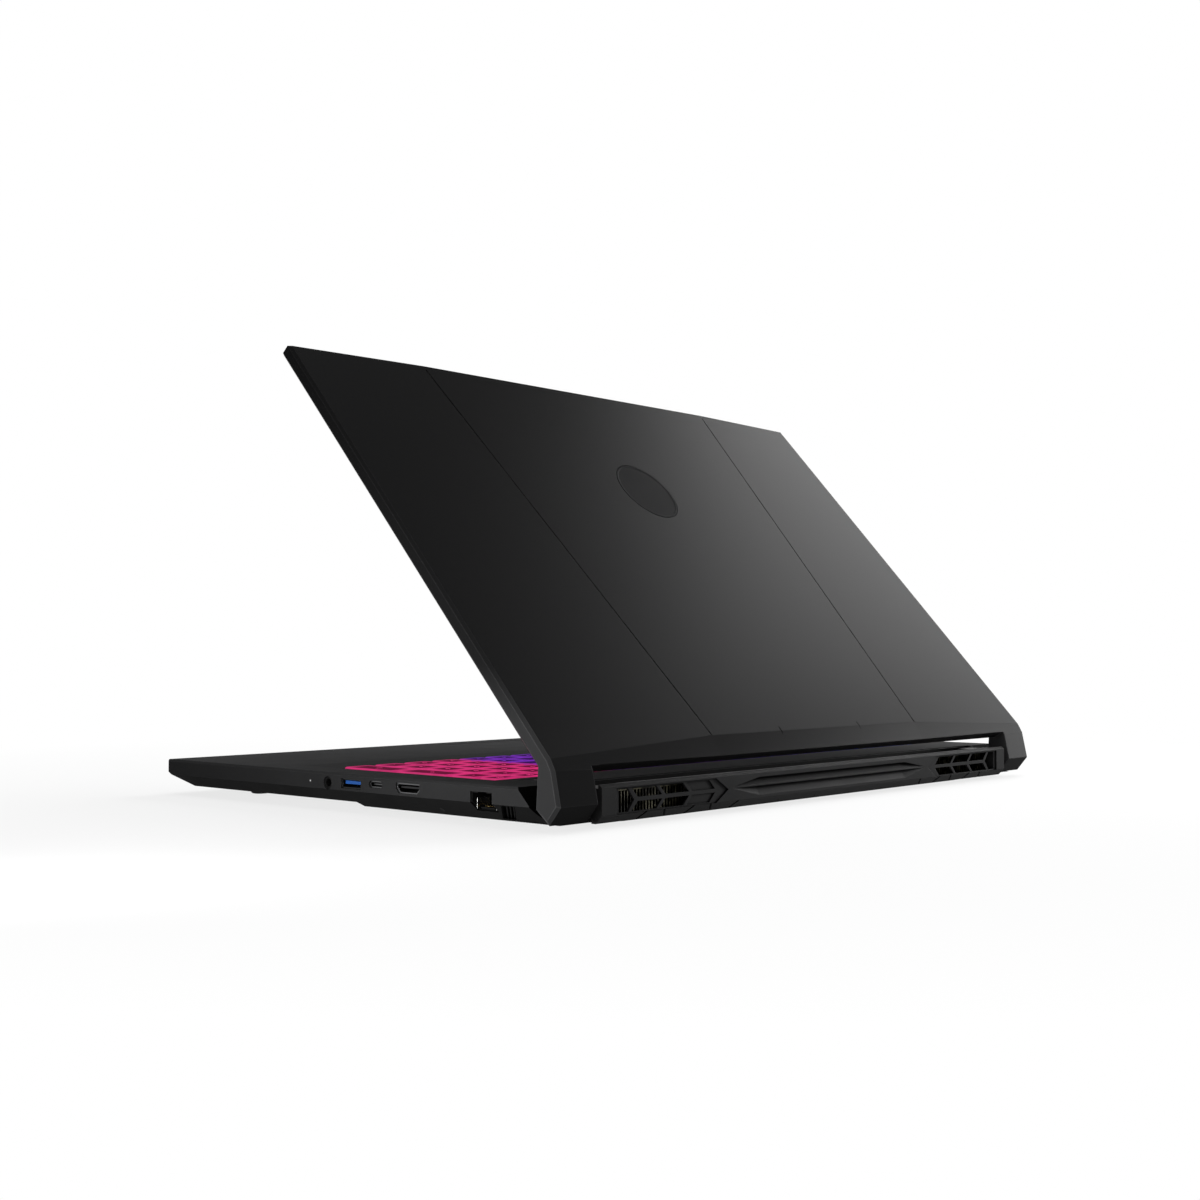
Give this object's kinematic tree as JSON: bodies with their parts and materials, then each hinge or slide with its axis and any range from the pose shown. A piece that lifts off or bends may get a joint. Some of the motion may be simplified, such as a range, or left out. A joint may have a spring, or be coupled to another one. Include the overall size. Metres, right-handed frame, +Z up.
{
  "type": "laptop computer",
  "caption": "Matte black gaming-style laptop computer with an offset rear hinge, rear cooling vents, side ports and a lit keyboard, lid part open",
  "frame": {"origin": "on the table under the middle of the part with the lid at its rest angle", "axes": "+X to the user's right, +Y to the rear, +Z up"},
  "size_m": [0.398, 0.2719, 0.2175],
  "materials": {
    "case_plastic": "matte black moulded plastic with a fine grain",
    "deck_metal": "dark grey painted deck, fine grain",
    "lid_metal": "matte black coated lid, soft sheen",
    "badge_metal": "plain dark satin disc",
    "key_plastic": "black key caps with lit edges",
    "copper_fins": "brown-gold metal fins",
    "board": "green circuit board",
    "chip": "black chips with a dull gloss",
    "light_guide": "clear light guide",
    "steel": "plain brushed steel",
    "socket_metal": "bright pressed steel sockets",
    "socket_plastic": "black socket plastic",
    "socket_insert": "blue contact tongues",
    "screen_glass": "dark screen glass",
    "foot_rubber": "black rubber"
  },
  "bodies": {
    "base": {"bottom_cover": "case_plastic", "top_case": "deck_metal", "rear_grille": "case_plastic", "fin_stack_right": "copper_fins", "fin_stack_left": "copper_fins", "fan_housing_right": "case_plastic", "fan_housing_left": "case_plastic", "heat_pipes": "copper_fins", "mainboard": "board", "processor_chips": "chip", "memory_modules": "board", "ssd_module": "board", "wireless_card": "board", "battery_pack": "case_plastic", "speakers": "case_plastic", "key_scissors": "case_plastic", "keyboard_plate": "steel", "keyboard_light_guide": "light_guide", "touchpad_bracket": "case_plastic", "power_switch_board": "board", "audio_jack": "socket_plastic", "status_light": "light_guide", "usb_a_port_right": "socket_metal", "usb_a_ports_left": "socket_metal", "usb_a_inserts": "socket_insert", "usb_c_port": "socket_metal", "hdmi_port": "socket_plastic", "ethernet_port": "socket_plastic", "power_inlet": "socket_plastic", "hinge_bracket_right": "steel", "hinge_bracket_left": "steel", "hinge_screws": "steel", "bottom_screws": "steel", "rubber_feet": "foot_rubber"},
    "lid": {"lid_cover": "lid_metal", "screen_bezel": "case_plastic", "hinge_arm_right": "steel", "hinge_arm_left": "steel", "display_panel": "screen_glass", "webcam_module": "case_plastic", "webcam_lens": "screen_glass", "lid_badge": "badge_metal", "bezel_bumpers": "foot_rubber", "display_cable": "socket_plastic", "lid_antennas": "socket_plastic"},
    "fan_rotor_right": {"fan_rotor_right": "case_plastic"},
    "fan_rotor_left": {"fan_rotor_left": "case_plastic"},
    "touchpad": {"touchpad": "deck_metal"},
    "power_button": {"power_button": "deck_metal"},
    "function_keys": {"function_keys": "key_plastic"},
    "number_keys": {"number_keys": "key_plastic"},
    "top_letter_keys": {"top_letter_keys": "key_plastic"},
    "home_row_keys": {"home_row_keys": "key_plastic"},
    "enter_key": {"enter_key": "key_plastic"},
    "lower_letter_keys": {"lower_letter_keys": "key_plastic"},
    "bottom_row_keys": {"bottom_row_keys": "key_plastic"},
    "space_bar": {"space_bar": "key_plastic"},
    "arrow_keys": {"arrow_keys": "key_plastic"},
    "numpad_keys": {"numpad_keys": "key_plastic"}
  },
  "joints": [
    {"name": "lid_hinge", "type": "hinge", "parent": "base", "child": "lid", "pos_m": [0, 0.1275, 0.011], "axis": [-1, 0, 0], "range_deg": [-48, 82]},
    {"name": "fan_spin_right", "type": "hinge", "parent": "base", "child": "fan_rotor_right", "pos_m": [0.125, 0.079, 0.008], "axis": [0, 0, 1], "continuous": true},
    {"name": "fan_spin_left", "type": "hinge", "parent": "base", "child": "fan_rotor_left", "pos_m": [-0.125, 0.079, 0.008], "axis": [0, 0, 1], "continuous": true},
    {"name": "touchpad_click", "type": "hinge", "parent": "base", "child": "touchpad", "pos_m": [-0.028, -0.056, 0.0168], "axis": [1, 0, 0], "range_deg": [0, 0.4], "stiffness_Nm_per_rad": 20},
    {"name": "power_button_press", "type": "slide", "parent": "base", "child": "power_button", "axis": [0, 0, 1], "range_m": [-0.0005, 0], "stiffness_N_per_m": 400},
    {"name": "function_press", "type": "slide", "parent": "base", "child": "function_keys", "axis": [0, 0, 1], "range_m": [-0.0017, 0], "stiffness_N_per_m": 300},
    {"name": "number_press", "type": "slide", "parent": "base", "child": "number_keys", "axis": [0, 0, 1], "range_m": [-0.0017, 0], "stiffness_N_per_m": 300},
    {"name": "top_letter_press", "type": "slide", "parent": "base", "child": "top_letter_keys", "axis": [0, 0, 1], "range_m": [-0.0017, 0], "stiffness_N_per_m": 300},
    {"name": "home_row_press", "type": "slide", "parent": "base", "child": "home_row_keys", "axis": [0, 0, 1], "range_m": [-0.0017, 0], "stiffness_N_per_m": 300},
    {"name": "enter_press", "type": "slide", "parent": "base", "child": "enter_key", "axis": [0, 0, 1], "range_m": [-0.0017, 0], "stiffness_N_per_m": 300},
    {"name": "lower_letter_press", "type": "slide", "parent": "base", "child": "lower_letter_keys", "axis": [0, 0, 1], "range_m": [-0.0017, 0], "stiffness_N_per_m": 300},
    {"name": "bottom_row_press", "type": "slide", "parent": "base", "child": "bottom_row_keys", "axis": [0, 0, 1], "range_m": [-0.0017, 0], "stiffness_N_per_m": 300},
    {"name": "space_bar_press", "type": "slide", "parent": "base", "child": "space_bar", "axis": [0, 0, 1], "range_m": [-0.0017, 0], "stiffness_N_per_m": 300},
    {"name": "arrow_press", "type": "slide", "parent": "base", "child": "arrow_keys", "axis": [0, 0, 1], "range_m": [-0.0017, 0], "stiffness_N_per_m": 300},
    {"name": "numpad_press", "type": "slide", "parent": "base", "child": "numpad_keys", "axis": [0, 0, 1], "range_m": [-0.0017, 0], "stiffness_N_per_m": 300}
  ]
}
